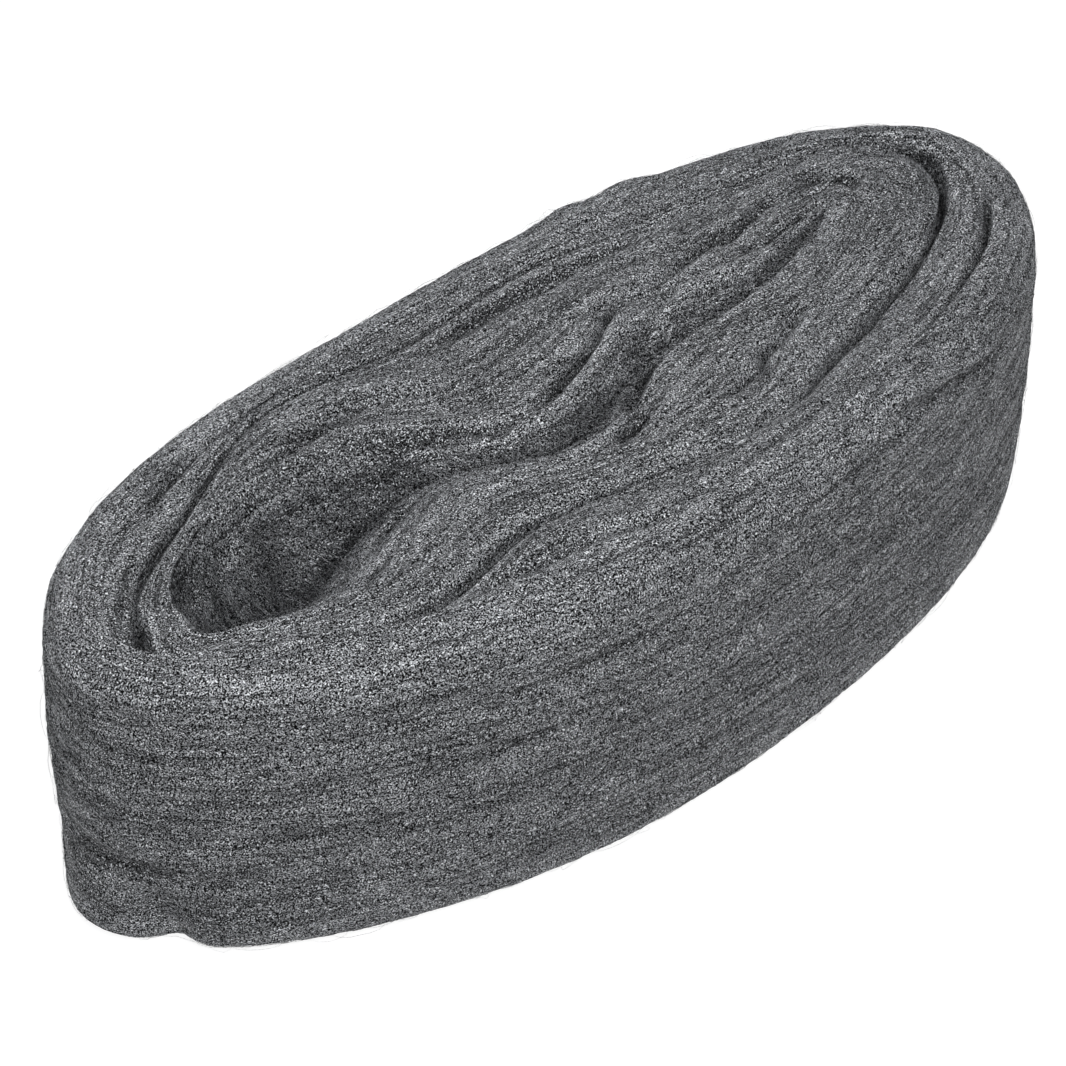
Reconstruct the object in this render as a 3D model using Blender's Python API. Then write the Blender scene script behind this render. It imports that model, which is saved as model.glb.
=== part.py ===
"""Roll of steel wool: one wide soft band, wound into a long flattened coil that lies on its side.

The coil is one closed body, lofted from a ring of upright sections. Each section runs up the outer
wall, in over the top with the creases between the turns, down into the slot left in the middle of the
winding, and back out along the underside. Metres, +Z up, origin at the middle of the underside.
"""

import math

import bmesh
import bpy
import numpy as np

# Driving sizes
COIL_LENGTH = 0.254
COIL_WIDTH = 0.106
BAND_WIDTH = 0.070
LEFT_END_WALL = 0.030
RIGHT_END_WALL = 0.052
RIM_RADIUS = 0.010
FOOT_RADIUS = 0.005
SLOT_FOOT_RADIUS = 0.003
WALL_BULGE = 0.0015
WALL_LEAN = 0.0008
CRACK_HALF_WIDTH = 0.0007
CRACK_WIDENING = 0.13
CRACK_LEAST_DEPTH = 0.0005
CREASE_SHARPNESS = 2.0
TURN_LEAST_WIDTH = 0.002
LIP_CURVE = 1.15
UNDERSIDE_TURNS = 3
UNDERSIDE_GROOVE_DEPTH = 0.0012
UNDERSIDE_GROOVE_WIDTH = 0.0024
FOOT_SWELL_HEIGHT = 0.018

# A quarter round takes no more than this share of a thin wall
CORNER_SHARE = 0.4

# Outline from above, every 20 degrees of winding from the right end, as shares of half the length
# and half the width
OUTLINE = (
    (1.000, 0.180), (0.910, 0.530), (0.720, 0.780), (0.455, 0.935), (0.130, 0.995), (-0.210, 0.995),
    (-0.530, 0.935), (-0.780, 0.760), (-0.940, 0.470), (-1.000, 0.155), (-0.965, -0.175),
    (-0.820, -0.510), (-0.540, -0.820), (-0.210, -0.985), (0.130, -0.985), (0.455, -0.885),
    (0.745, -0.655), (0.935, -0.285),
)

# Slot down the middle, every 12 degrees from its right end to its left end: middle line and half
# width, in millimetres
SLOT = (
    (7.5, 0.0), (7.0, 0.3), (5.5, 0.3), (3.5, 0.3), (1.5, 0.4), (1.5, 0.5), (1.0, 0.7), (-5.5, 1.0),
    (-7.0, 0.8), (3.0, 1.2), (9.3, 2.2), (8.8, 3.5), (7.3, 4.0), (5.0, 3.8), (2.5, 2.4), (1.0, 0.0),
)

# Main crack in the top, every 12 degrees of winding: share of the way from the outline to the slot,
# and depth in millimetres
CRACK = (
    (0.31, 11.0), (0.27, 6.0), (0.27, 2.5), (0.33, 2.0), (0.36, 2.5), (0.38, 1.5), (0.31, 1.5), (0.27, 2.5),
    (0.29, 2.5), (0.29, 3.0), (0.39, 4.0), (0.53, 7.0), (0.60, 10.0), (0.61, 7.0), (0.59, 6.0),
    (0.53, 11.0), (0.39, 11.0), (0.24, 4.0), (0.23, 1.0), (0.25, 1.5), (0.30, 8.0), (0.50, 9.0),
    (0.55, 3.5), (0.43, 2.5), (0.37, 6.0), (0.44, 12.0), (0.47, 10.0), (0.46, 8.0), (0.43, 8.0), (0.36, 9.0),
)

# Rounded lip where the top turns down into the slot, every 12 degrees: width and drop in millimetres
LIP = (
    (3.5, 1.6), (4.5, 2.6), (5.0, 3.4), (5.0, 3.6), (5.0, 3.6), (5.5, 3.8), (6.5, 4.4), (7.0, 5.0),
    (7.0, 5.5), (11.0, 9.0), (12.0, 18.0), (11.0, 22.0), (9.0, 22.0), (7.0, 20.0), (6.0, 18.0),
    (6.0, 16.0), (9.0, 18.0), (16.0, 24.0), (20.0, 25.0), (25.0, 19.0), (22.0, 13.0), (8.0, 5.5),
    (5.0, 4.0), (6.0, 5.0), (6.0, 4.5), (5.0, 3.6), (5.0, 3.4), (4.5, 3.2), (4.5, 2.8), (4.0, 2.2),
)

# Creases between the turns: depth and half width in millimetres, then the way of each one as pairs of
# winding angle and share of the way from the outline to the slot
CREASES = (
    (2.4, 4.4, ((116, 0.24), (120, 0.25), (127, 0.31), (132, 0.33), (138, 0.41), (144, 0.46))),
    (3.6, 4.4, ((120, 0.72), (124, 0.75), (130, 0.76), (136, 0.78), (143, 0.84), (150, 0.85), (166, 0.87))),
    (3.0, 4.2, ((116, 0.83), (124, 0.85), (132, 0.87), (142, 0.92))),
    (4.4, 5.0, ((96, 0.60), (102, 0.52), (106, 0.51), (112, 0.56), (120, 0.62), (126, 0.66))),
    (3.6, 4.6, ((110, 0.92), (114, 0.91), (122, 0.93), (127, 0.94), (134, 0.97))),
    (4.0, 4.6, ((100, 0.88), (104, 0.84), (107, 0.80), (110, 0.84), (115, 0.91))),
    (3.0, 4.4, ((94, 0.85), (96, 0.86), (98, 0.88), (101, 0.82), (104, 0.80))),
    (2.6, 4.4, ((62, 0.44), (68, 0.42), (76, 0.40), (82, 0.36), (92, 0.36))),
    (3.6, 4.4, ((3, 0.73), (12, 0.64), (18, 0.57), (24, 0.53), (32, 0.46))),
    (3.6, 4.4, ((36, 0.54), (40, 0.56), (45, 0.63), (48, 0.66), (54, 0.62))),
    (3.4, 4.4, ((46, 0.58), (56, 0.67), (60, 0.70), (66, 0.75))),
    (5.0, 4.2, ((52, 0.78), (61, 0.78), (70, 0.73), (76, 0.80), (84, 0.82), (92, 0.85))),
    (2.6, 4.2, ((60, 0.82), (64, 0.85), (69, 0.94), (73, 0.97))),
    (2.4, 4.2, ((46, 0.96), (52, 0.91), (60, 0.92))),
    (2.4, 4.4, ((18, 0.84), (28, 0.80), (38, 0.82), (48, 0.79))),
    (4.4, 4.4, ((271, 0.80), (276, 0.82), (279, 0.91), (284, 0.94), (291, 0.98))),
    (4.0, 4.6, ((284, 0.57), (288, 0.58), (292, 0.58), (294, 0.62), (299, 0.65), (307, 0.71))),
    (4.0, 4.2, ((288, 0.18), (296, 0.21), (302, 0.17), (312, 0.19), (326, 0.21), (335, 0.22), (347, 0.12))),
    (3.6, 4.4, ((243, 0.28), (250, 0.29), (256, 0.33), (260, 0.32), (265, 0.22))),
    (2.6, 4.2, ((228, 0.45), (232, 0.53), (236, 0.61), (239, 0.67), (243, 0.76))),
    (2.4, 4.2, ((237, 0.53), (239, 0.57), (243, 0.75))),
    (3.0, 4.2, ((237, 0.78), (240, 0.85), (243, 0.89), (248, 0.92))),
)

# Soft shoulders beside the main crack: share of its depth, the most that they drop, and their reach
SHOULDER_SHARE = 0.35
SHOULDER_MOST = 0.0022
SHOULDER_REACH = 0.0042

# Loose wool low on the outer wall at the left end: winding angle and spread in degrees, and how far it
# stands out, in millimetres, or in where less than 0
FOOT_SWELLS = ((180.0, 14.0, 3.2), (200.0, 5.0, -4.0))

# Soft ribs that the turns make: cells along the winding and across a section, the share of those cells
# that the wall takes and that the top takes, and how deep the valleys between ribs are
RIB_CELLS = (9, 12)
RIB_SEED = 20
RIB_WALL_SHARE = 0.35
RIB_TOP_SHARE = 0.35
RIB_WALL_DEPTH = 0.0006
RIB_TOP_DEPTH = 0.0016

# How many sections the coil has, and how many rows each stretch of a section has
SECTIONS = 104
OUTER_WALL_ROWS = 7
RIM_ROWS = 4
OUTER_TOP_ROWS = 9
CRACK_ROWS = 1
INNER_TOP_ROWS = 13
LIP_ROWS = 5
INNER_WALL_ROWS = 4
INNER_FOOT_ROWS = 3
OUTER_FOOT_ROWS = 3

MM = 0.001
TURN = 2.0 * math.pi
WOOL_COLOUR = (0.12, 0.125, 0.13, 1.0)
WOOL_ROUGHNESS = 0.55
WOOL_METALLIC = 0.8


def clear_scene():
    """Removes every object that the scene holds."""
    for item in list(bpy.data.objects):
        bpy.data.objects.remove(item, do_unlink=True)


def ring_curve(values, angles):
    """Smooth closed curve through evenly spaced values, read at winding angles in radians."""
    values = np.asarray(values, float)
    count = len(values)
    unit = np.eye(count)
    blend = (4.0 * unit + np.roll(unit, 1, axis=0) + np.roll(unit, -1, axis=0)) / 6.0
    control = np.linalg.solve(blend, values)
    place = angles / TURN * count
    start = np.floor(place).astype(int)
    weights = spline_weights(place - start)
    return sum(weight * control[(start + k - 1) % count] for k, weight in enumerate(weights))


def spline_weights(u):
    """Weights of the four control values around a place in a uniform cubic B-spline."""
    return (
        (1.0 - u) ** 3 / 6.0,
        (3.0 * u**3 - 6.0 * u**2 + 4.0) / 6.0,
        (-3.0 * u**3 + 3.0 * u**2 + 3.0 * u + 1.0) / 6.0,
        u**3 / 6.0,
    )


def lattice_noise(u, v, along, across, seed):
    """Smooth noise of about -1 to 1 on a torus of cells, read at shares u and v of the way round."""
    lattice = np.random.default_rng(seed).uniform(-1.7, 1.7, (along, across))
    place_u = np.mod(u, 1.0) * along
    place_v = np.mod(v, 1.0) * across
    start_u = np.floor(place_u).astype(int)
    start_v = np.floor(place_v).astype(int)
    weights_u = spline_weights(place_u - start_u)
    weights_v = spline_weights(place_v - start_v)
    total = np.zeros(np.broadcast(u, v).shape)
    for a, weight_u in enumerate(weights_u):
        for b, weight_v in enumerate(weights_v):
            value = lattice[(start_u + a - 1) % along, (start_v + b - 1) % across]
            total = total + weight_u * weight_v * value
    return total


def rib_valleys(angles, place):
    """How deep the valleys between the ribs are, from 0 to 1, at places across each section."""
    noise = lattice_noise(angles[:, None] / TURN, place, *RIB_CELLS, RIB_SEED)
    return np.clip(0.5 - 0.5 * noise, 0.0, 1.0)


def wall_ribs(angles, height):
    """How far the valleys between the ribs cut into the outer wall at a height."""
    return RIB_WALL_DEPTH * rib_valleys(angles, RIB_WALL_SHARE * height / BAND_WIDTH)


def top_ribs(angles, share):
    """How far the valleys between the ribs cut into the top at a share of the way in."""
    return RIB_TOP_DEPTH * rib_valleys(angles, RIB_WALL_SHARE + RIB_TOP_SHARE * share)


def outline_points(angles):
    """Outer edge of the coil from above."""
    shares = np.array(OUTLINE)
    x = ring_curve(shares[:, 0], angles) * COIL_LENGTH / 2.0
    y = ring_curve(shares[:, 1], angles) * COIL_WIDTH / 2.0
    return np.stack([x, y], axis=1)


def slot_points(angles):
    """Edge of the slot from above: its back side, then its front side."""
    rows = np.array(SLOT) * MM
    middle = np.concatenate([rows[:, 0], rows[-2:0:-1, 0]])
    half_width = np.concatenate([rows[:, 1], -rows[-2:0:-1, 1]])
    left = -COIL_LENGTH / 2.0 + LEFT_END_WALL
    right = COIL_LENGTH / 2.0 - RIGHT_END_WALL
    x = (left + right) / 2.0 + (right - left) / 2.0 * np.cos(angles)
    y = ring_curve(middle, angles) + ring_curve(half_width, angles)
    return np.stack([x, y], axis=1)


def crease_depth(angles, inward, thick):
    """Depth of the creases at a distance inward from the outline, for a wall of that thickness."""
    depth = np.zeros_like(inward)
    for deepest, half_width, way in CREASES:
        bends = np.radians([bend for bend, share in way])
        shares = [share for bend, share in way]
        turned = bends[0] + np.mod(angles - bends[0], TURN)
        along = np.clip((turned - bends[0]) / (bends[-1] - bends[0]), 0.0, 1.0)
        middle = np.interp(turned, bends, shares)[:, None] * thick
        near = np.clip(1.0 - np.abs(inward - middle) / (half_width * MM), 0.0, 1.0)
        fade = np.sqrt(np.sin(math.pi * along))[:, None]
        depth = np.maximum(depth, deepest * MM * fade * near**CREASE_SHARPNESS)
    return depth


def wall_inset(height):
    """How far the outer wall stands inside the outline: it bulges at half height and leans in below."""
    share = height / BAND_WIDTH
    bulge = WALL_BULGE * np.sin(math.pi * share)
    return WALL_BULGE - bulge + WALL_LEAN * (1.0 - share) ** 2


def foot_swell(angles, height):
    """How far the loose wool low on the outer wall stands out at a height."""
    out = np.zeros((len(angles), 1))
    for middle, spread, reach in FOOT_SWELLS:
        away = (np.degrees(angles)[:, None] - middle) / spread
        out = out + reach * MM * np.exp(-(away**2))
    return out * np.sqrt(np.clip(1.0 - height / FOOT_SWELL_HEIGHT, 0.0, 1.0))


def steps(rows):
    """Even shares from 0 to 1, without the 0."""
    return np.linspace(0.0, 1.0, rows + 1)[None, 1:]


def underside_rows(inner, outer):
    """Rows from the slot's foot out to the outer foot: flat bands with a shallow groove between turns."""
    inward = []
    height = []
    for turn in range(1, UNDERSIDE_TURNS):
        middle = inner + (outer - inner) * turn / UNDERSIDE_TURNS
        for side, lift in ((0.5, 0.0), (0.0, 1.0), (-0.5, 0.0)):
            inward.append(middle + side * UNDERSIDE_GROOVE_WIDTH)
            height.append(np.full_like(middle, lift * UNDERSIDE_GROOVE_DEPTH))
    inward.append(outer)
    height.append(np.zeros_like(outer))
    return np.concatenate(inward, axis=1), np.concatenate(height, axis=1)


def section_rows(angles, thick):
    """Distance inward from the outline, and height, of every row of each section."""
    crack_share, crack_deep = (ring_curve(column, angles)[:, None] for column in np.array(CRACK).T)
    lip_width, lip_drop = (ring_curve(column, angles)[:, None] * MM for column in np.array(LIP).T)
    crack_at = crack_share * thick
    crack_deep = np.maximum(crack_deep * MM, CRACK_LEAST_DEPTH)
    crack_half = CRACK_HALF_WIDTH + CRACK_WIDENING * crack_deep
    crack_start = crack_at - crack_half
    crack_end = crack_at + crack_half
    lip_width = np.minimum(lip_width, thick - crack_end - TURN_LEAST_WIDTH)
    rim = np.minimum(RIM_RADIUS, CORNER_SHARE * thick)
    quarter = steps(RIM_ROWS) * math.pi / 2.0
    bend = steps(LIP_ROWS) * math.pi / 2.0
    slot_bend = steps(INNER_FOOT_ROWS) * math.pi / 2.0
    foot_bend = steps(OUTER_FOOT_ROWS)[:, :-1] * math.pi / 2.0

    wall_height = FOOT_RADIUS + (BAND_WIDTH - rim - FOOT_RADIUS) * np.linspace(0.0, 1.0, OUTER_WALL_ROWS + 1)
    wall_inward = wall_inset(wall_height) + wall_ribs(angles, wall_height) - foot_swell(angles, wall_height)
    rim_start = wall_inward[:, -1:]
    rim_inward = rim_start + rim * (1.0 - np.cos(quarter))
    rim_drop = rim * (1.0 - np.sin(quarter)) + top_ribs(angles, rim_inward / thick) * np.sin(quarter) ** 2
    rim_height = BAND_WIDTH - rim_drop

    rim_end = rim_start + rim
    outer_top = rim_end + (crack_start - rim_end) * steps(OUTER_TOP_ROWS)
    crack_inward = crack_start + (crack_end - crack_start) * steps(2 * CRACK_ROWS)
    lip_start = thick - lip_width
    inner_top = crack_end + (lip_start - crack_end) * steps(INNER_TOP_ROWS)
    lip_inward = lip_start + lip_width * np.sin(bend)
    top_inward = np.concatenate([outer_top, crack_inward, inner_top, lip_inward], axis=1)
    away = np.abs(top_inward - crack_at)
    shoulder_deep = np.minimum(SHOULDER_SHARE * crack_deep, SHOULDER_MOST)
    shoulder = shoulder_deep * np.exp(-((away / SHOULDER_REACH) ** 2))
    crack_drop = crack_deep * np.clip(1.0 - away / crack_half, 0.0, 1.0)
    top_drop = np.maximum(crack_drop, shoulder) + crease_depth(angles, top_inward, thick)
    top_drop[:, -LIP_ROWS:] += lip_drop * np.sin(bend) ** LIP_CURVE
    top_height = BAND_WIDTH - top_drop - top_ribs(angles, top_inward / thick)

    slot_top = top_height[:, -1:]
    slot_height = slot_top + (SLOT_FOOT_RADIUS - slot_top) * steps(INNER_WALL_ROWS)
    slot_inward = np.broadcast_to(thick, slot_height.shape)
    slot_foot_inward = thick - SLOT_FOOT_RADIUS * (1.0 - np.cos(slot_bend))
    slot_foot_height = SLOT_FOOT_RADIUS * (1.0 - np.sin(slot_bend)) + 0.0 * thick

    foot_start = wall_inward[:, :1]
    under_inward, under_height = underside_rows(slot_foot_inward[:, -1:], foot_start + FOOT_RADIUS)
    foot_inward = foot_start + FOOT_RADIUS * (1.0 - np.sin(foot_bend))
    foot_height = FOOT_RADIUS * (1.0 - np.cos(foot_bend)) + 0.0 * thick

    inward = (wall_inward, rim_inward, top_inward, slot_inward, slot_foot_inward, under_inward, foot_inward)
    height = (wall_height, rim_height, top_height, slot_height, slot_foot_height, under_height, foot_height)
    return np.concatenate(inward, axis=1), np.concatenate(height, axis=1)


def coil_grid():
    """Points of the loft, one line of points for each section, centred over the origin."""
    angles = np.linspace(0.0, TURN, SECTIONS, endpoint=False)
    outline = outline_points(angles)
    across = slot_points(angles) - outline
    thick = np.linalg.norm(across, axis=1)[:, None]
    inward, height = section_rows(angles, thick)
    plan = outline[:, None, :] + (across / thick)[:, None, :] * inward[:, :, None]
    grid = np.concatenate([plan, height[:, :, None]], axis=2)
    corners = grid.reshape(-1, 3)
    middle = (corners.min(axis=0) + corners.max(axis=0)) / 2.0
    middle[2] = corners[:, 2].min()
    return grid - middle


def wool_material():
    """Dull grey steel."""
    material = bpy.data.materials.new("steel_wool")
    material.use_nodes = True
    shader = material.node_tree.nodes["Principled BSDF"]
    shader.inputs["Base Color"].default_value = WOOL_COLOUR
    shader.inputs["Roughness"].default_value = WOOL_ROUGHNESS
    shader.inputs["Metallic"].default_value = WOOL_METALLIC
    material.diffuse_color = WOOL_COLOUR
    return material


def wool_roll():
    """The wound band as one closed body."""
    grid = coil_grid()
    sections, rows = grid.shape[:2]
    shape = bmesh.new()
    points = [[shape.verts.new(point) for point in line] for line in grid]
    for i in range(sections):
        here = points[i]
        there = points[(i + 1) % sections]
        for j in range(rows):
            k = (j + 1) % rows
            shape.faces.new((here[j], there[j], there[k], here[k]))
    mesh = bpy.data.meshes.new("wool_roll")
    shape.to_mesh(mesh)
    shape.free()
    mesh.shade_smooth()
    mesh.materials.append(wool_material())
    roll = bpy.data.objects.new("wool_roll", mesh)
    bpy.context.collection.objects.link(roll)
    return roll


clear_scene()
wool_roll()
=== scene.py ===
"""Looks of the steel wool roll: the wound band's fine surface, its fibres, and a plain studio."""
import math

import bpy
import numpy as np
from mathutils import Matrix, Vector

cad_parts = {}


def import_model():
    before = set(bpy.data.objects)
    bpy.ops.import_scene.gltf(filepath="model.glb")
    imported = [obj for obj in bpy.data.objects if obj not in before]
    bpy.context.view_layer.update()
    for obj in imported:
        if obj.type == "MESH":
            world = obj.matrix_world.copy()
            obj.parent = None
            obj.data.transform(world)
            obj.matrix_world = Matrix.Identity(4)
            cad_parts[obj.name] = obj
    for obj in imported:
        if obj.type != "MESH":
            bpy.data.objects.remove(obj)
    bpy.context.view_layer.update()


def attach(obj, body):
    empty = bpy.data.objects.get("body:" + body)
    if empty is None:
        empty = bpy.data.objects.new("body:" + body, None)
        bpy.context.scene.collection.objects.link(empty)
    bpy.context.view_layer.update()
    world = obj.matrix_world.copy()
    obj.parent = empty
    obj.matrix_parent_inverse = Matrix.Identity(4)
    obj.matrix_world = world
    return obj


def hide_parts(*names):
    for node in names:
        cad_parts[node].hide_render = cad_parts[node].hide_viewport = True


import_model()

MM = 0.001
TURN = 2.0 * math.pi
FULL_CIRCLE = 360.0
BODY = "root"
NODE = "wool_roll"

# The seven stretches of a section, in the order in which its rows run: outer wall, rim, top, slot wall, slot
# foot, underside and outer foot
RIM = 1
TOP = 2
SLOT_WALL = 3
STRETCHES = 7

# Reach of the random values behind each noise, which keeps the noise itself within about 1
NOISE_REACH = 1.7

# Form of the coil, the same as the solid's
COIL_LENGTH = 0.254
COIL_WIDTH = 0.106
BAND_WIDTH = 0.070
LEFT_END_WALL = 0.030
RIGHT_END_WALL = 0.052
RIM_RADIUS = 0.010
FOOT_RADIUS = 0.005
SLOT_FOOT_RADIUS = 0.003
WALL_BULGE = 0.0015
WALL_LEAN = 0.0008
CRACK_HALF_WIDTH = 0.0007
CRACK_WIDENING = 0.13
CRACK_LEAST_DEPTH = 0.0005
CREASE_SHARPNESS = 1.6
TURN_LEAST_WIDTH = 0.002
LIP_CURVE = 1.15
UNDERSIDE_TURNS = 3
UNDERSIDE_GROOVE_DEPTH = 0.0012
UNDERSIDE_GROOVE_WIDTH = 0.0024
FOOT_SWELL_HEIGHT = 0.018
CORNER_SHARE = 0.4

# Outline from above, every 20 degrees of winding from the right end, as shares of half the length
# and half the width
OUTLINE = (
    (1.000, 0.180), (0.910, 0.530), (0.720, 0.780), (0.455, 0.935), (0.130, 0.995), (-0.210, 0.995),
    (-0.530, 0.935), (-0.780, 0.760), (-0.940, 0.470), (-1.000, 0.155), (-0.965, -0.175),
    (-0.820, -0.510), (-0.540, -0.820), (-0.210, -0.985), (0.130, -0.985), (0.455, -0.885),
    (0.745, -0.655), (0.935, -0.285),
)

# Slot down the middle, every 12 degrees from its right end to its left end: middle line and half
# width, in millimetres
SLOT = (
    (7.5, 0.0), (7.0, 0.1), (5.5, 0.1), (3.5, 0.1), (1.5, 0.1), (1.5, 0.2), (1.0, 0.3), (-5.5, 0.4),
    (-7.0, 0.4), (3.0, 0.8), (9.3, 2.2), (8.8, 3.5), (7.3, 4.0), (5.0, 3.8), (2.5, 2.4), (1.0, 0.0),
)

# Main crack in the top, every 12 degrees of winding: share of the way from the outline to the slot,
# and depth in millimetres
CRACK = (
    (0.31, 11.0), (0.27, 6.0), (0.27, 2.5), (0.33, 2.0), (0.36, 2.5), (0.38, 1.5), (0.31, 1.5), (0.27, 2.5),
    (0.29, 2.5), (0.29, 3.0), (0.39, 4.0), (0.53, 7.0), (0.60, 10.0), (0.61, 7.0), (0.59, 6.0),
    (0.53, 11.0), (0.39, 11.0), (0.24, 4.0), (0.23, 1.0), (0.25, 1.5), (0.30, 8.0), (0.50, 9.0),
    (0.55, 3.5), (0.43, 2.5), (0.37, 6.0), (0.44, 12.0), (0.47, 10.0), (0.46, 8.0), (0.43, 8.0), (0.36, 9.0),
)

# Rounded lip where the top turns down into the slot, every 12 degrees: width and drop in millimetres
LIP = (
    (3.5, 1.0), (4.5, 1.4), (5.0, 2.0), (5.0, 2.6), (5.0, 3.0), (5.5, 3.6), (6.5, 4.4), (7.0, 5.0),
    (7.0, 5.5), (11.0, 9.0), (12.0, 18.0), (11.0, 22.0), (9.0, 22.0), (7.0, 20.0), (6.0, 18.0),
    (6.0, 16.0), (9.0, 18.0), (16.0, 24.0), (20.0, 25.0), (25.0, 19.0), (22.0, 13.0), (8.0, 5.5),
    (5.0, 4.0), (6.0, 5.0), (6.0, 4.5), (5.0, 3.4), (5.0, 2.8), (4.5, 2.2), (4.5, 1.6), (4.0, 1.2),
)

# Creases between the turns: depth and half width in millimetres, then the way of each one as pairs of
# winding angle and share of the way from the outline to the slot
CREASES = (
    (2.4, 3.4, ((116, 0.24), (120, 0.25), (127, 0.31), (132, 0.33), (138, 0.41), (144, 0.46))),
    (3.6, 3.4, ((120, 0.72), (124, 0.75), (130, 0.76), (136, 0.78), (143, 0.84), (150, 0.85), (166, 0.87))),
    (3.0, 3.0, ((116, 0.83), (124, 0.85), (132, 0.87), (142, 0.92))),
    (4.4, 4.0, ((96, 0.60), (102, 0.52), (106, 0.51), (112, 0.56), (120, 0.62), (126, 0.66))),
    (3.6, 3.6, ((110, 0.92), (114, 0.91), (122, 0.93), (127, 0.94), (134, 0.97))),
    (4.0, 3.6, ((100, 0.88), (104, 0.84), (107, 0.80), (110, 0.84), (115, 0.91))),
    (3.0, 3.4, ((94, 0.85), (96, 0.86), (98, 0.88), (101, 0.82), (104, 0.80))),
    (2.6, 3.4, ((62, 0.44), (68, 0.42), (76, 0.40), (82, 0.36), (92, 0.36))),
    (3.6, 3.4, ((3, 0.73), (12, 0.64), (18, 0.57), (24, 0.53), (32, 0.46))),
    (3.6, 3.4, ((36, 0.54), (40, 0.56), (45, 0.63), (48, 0.66), (54, 0.62))),
    (3.4, 3.4, ((46, 0.58), (56, 0.67), (60, 0.70), (66, 0.75))),
    (5.0, 2.6, ((52, 0.78), (61, 0.78), (70, 0.73), (76, 0.80), (84, 0.82), (92, 0.85))),
    (2.6, 3.0, ((60, 0.82), (64, 0.85), (69, 0.94), (73, 0.97))),
    (2.4, 3.0, ((46, 0.96), (52, 0.91), (60, 0.92))),
    (2.4, 3.4, ((18, 0.84), (28, 0.80), (38, 0.82), (48, 0.79))),
    (4.4, 3.4, ((271, 0.80), (276, 0.82), (279, 0.91), (284, 0.94), (291, 0.98))),
    (4.0, 3.6, ((284, 0.57), (288, 0.58), (292, 0.58), (294, 0.62), (299, 0.65), (307, 0.71))),
    (4.0, 3.0, ((288, 0.18), (296, 0.21), (302, 0.17), (312, 0.19), (326, 0.21), (335, 0.22), (347, 0.12))),
    (3.6, 3.4, ((243, 0.28), (250, 0.29), (256, 0.33), (260, 0.32), (265, 0.22))),
    (2.6, 3.0, ((228, 0.45), (232, 0.53), (236, 0.61), (239, 0.67), (243, 0.76))),
    (2.4, 3.0, ((237, 0.53), (239, 0.57), (243, 0.75))),
    (3.0, 3.0, ((237, 0.78), (240, 0.85), (243, 0.89), (248, 0.92))),
)

# Loose wool low on the outer wall at the left end: winding angle and spread in degrees, and how far it
# stands out, in millimetres, or in where less than 0
FOOT_SWELLS = ((180.0, 14.0, 3.2), (200.0, 5.0, -4.0))

# Soft ribs that the turns make: cells along the winding and across a section, the share of those cells
# that the wall takes and that the top takes, and how deep the valleys between ribs are
RIB_CELLS = (9, 12)
RIB_SEED = 20
RIB_WALL_SHARE = 0.35
RIB_TOP_SHARE = 0.35
RIB_WALL_DEPTH = 0.0006
RIB_TOP_DEPTH = 0.0016

# Sections and rows of the fine surface
SECTIONS = 300
WALL_ROWS = 100
RIM_ROWS = 24
OUTER_TOP_ROWS = 46
CRACK_ROWS = 5
INNER_TOP_ROWS = 72
LIP_ROWS = 20
SLOT_WALL_ROWS = 20
SLOT_FOOT_ROWS = 3
FOOT_ROWS = 5

# Soft shoulders beside the main crack: share of its depth, the most that they drop, and their reach
SHOULDER_SHARE = 0.35
SHOULDER_MOST = 0.0022
SHOULDER_REACH = 0.0042

# Relief of the wound fibres: cells along the winding and across it, height on the wall and on the top, and
# how far its lines drift to the side
RELIEF = (
    (9, 34, 0.00025, 0.00055),
    (26, 84, 0.00018, 0.00050),
    (60, 200, 0.00012, 0.00028),
)
RELIEF_SEED = 20
RELIEF_DRIFT = 0.012
RELIEF_DRIFT_CELLS = (7, 5)
RELIEF_DRIFT_SEED = 5

# Share of the wall's and of the top's relief on each stretch, and how often the shares are softened
WALL_RELIEF = (1.0, 0.4, 0.0, 0.0, 0.0, 0.0, 0.5)
TOP_RELIEF = (0.0, 0.6, 1.0, 0.25, 0.0, 0.0, 0.0)
SOFTENING_PASSES = 6

# Folds and grooves in the outer wall: winding angle and height where each starts and ends, how far it stands
# out, or in where less than 0, and its half width; angles in degrees, lengths in millimetres
WALL_FOLDS = (
    (289.0, 69.5, 311.0, 61.0, 2.0, 1.3),
    (289.0, 66.0, 314.0, 56.5, -1.7, 1.9),
    (170.0, 25.0, 214.0, 20.0, -1.0, 2.6),
    (206.0, 33.0, 236.0, 30.0, -0.4, 1.2),
    (236.0, 52.0, 262.0, 55.0, -0.4, 1.2),
)

# Loose tufts on the rim at the back: winding angle and spread in degrees, and height in millimetres
RIM_TUFTS = ((68.0, 3.0, 1.3), (60.0, 3.5, 1.3), (150.0, 5.0, 0.6))

# Rows on both sides that a point is compared with, the depth below them at which the painted shade of a
# hollow is dark, and how much brighter a ridge is drawn, as a painted highlight
HOLLOW_HOPS = (-12, -9, -6, -3, 3, 6, 9, 12)
HOLLOW_FADE = 0.0015
RIDGE_HIGHLIGHT = 0.2

# Leaning strands on the far inner wall of the open space at the left end: winding angles, depth of the gaps
# between them, cells along and across, lean, where a crest flattens, width and darkness of the painted shade
# in a gap, and how much brighter their wool is drawn, as painted light for the light that comes through it
PIT_ANGLES = (92.0, 180.0)
PIT_STRAND_DEPTH = 0.0045
PIT_STRAND_CELLS = (54, 14)
PIT_STRAND_SEED = 31
PIT_STRAND_LEAN = -0.2
PIT_STRAND_CREST = 0.6
PIT_GAP_WIDTH = 0.34
PIT_GAP_SHADE = 0.8
PIT_LIGHT = 2.1

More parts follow.
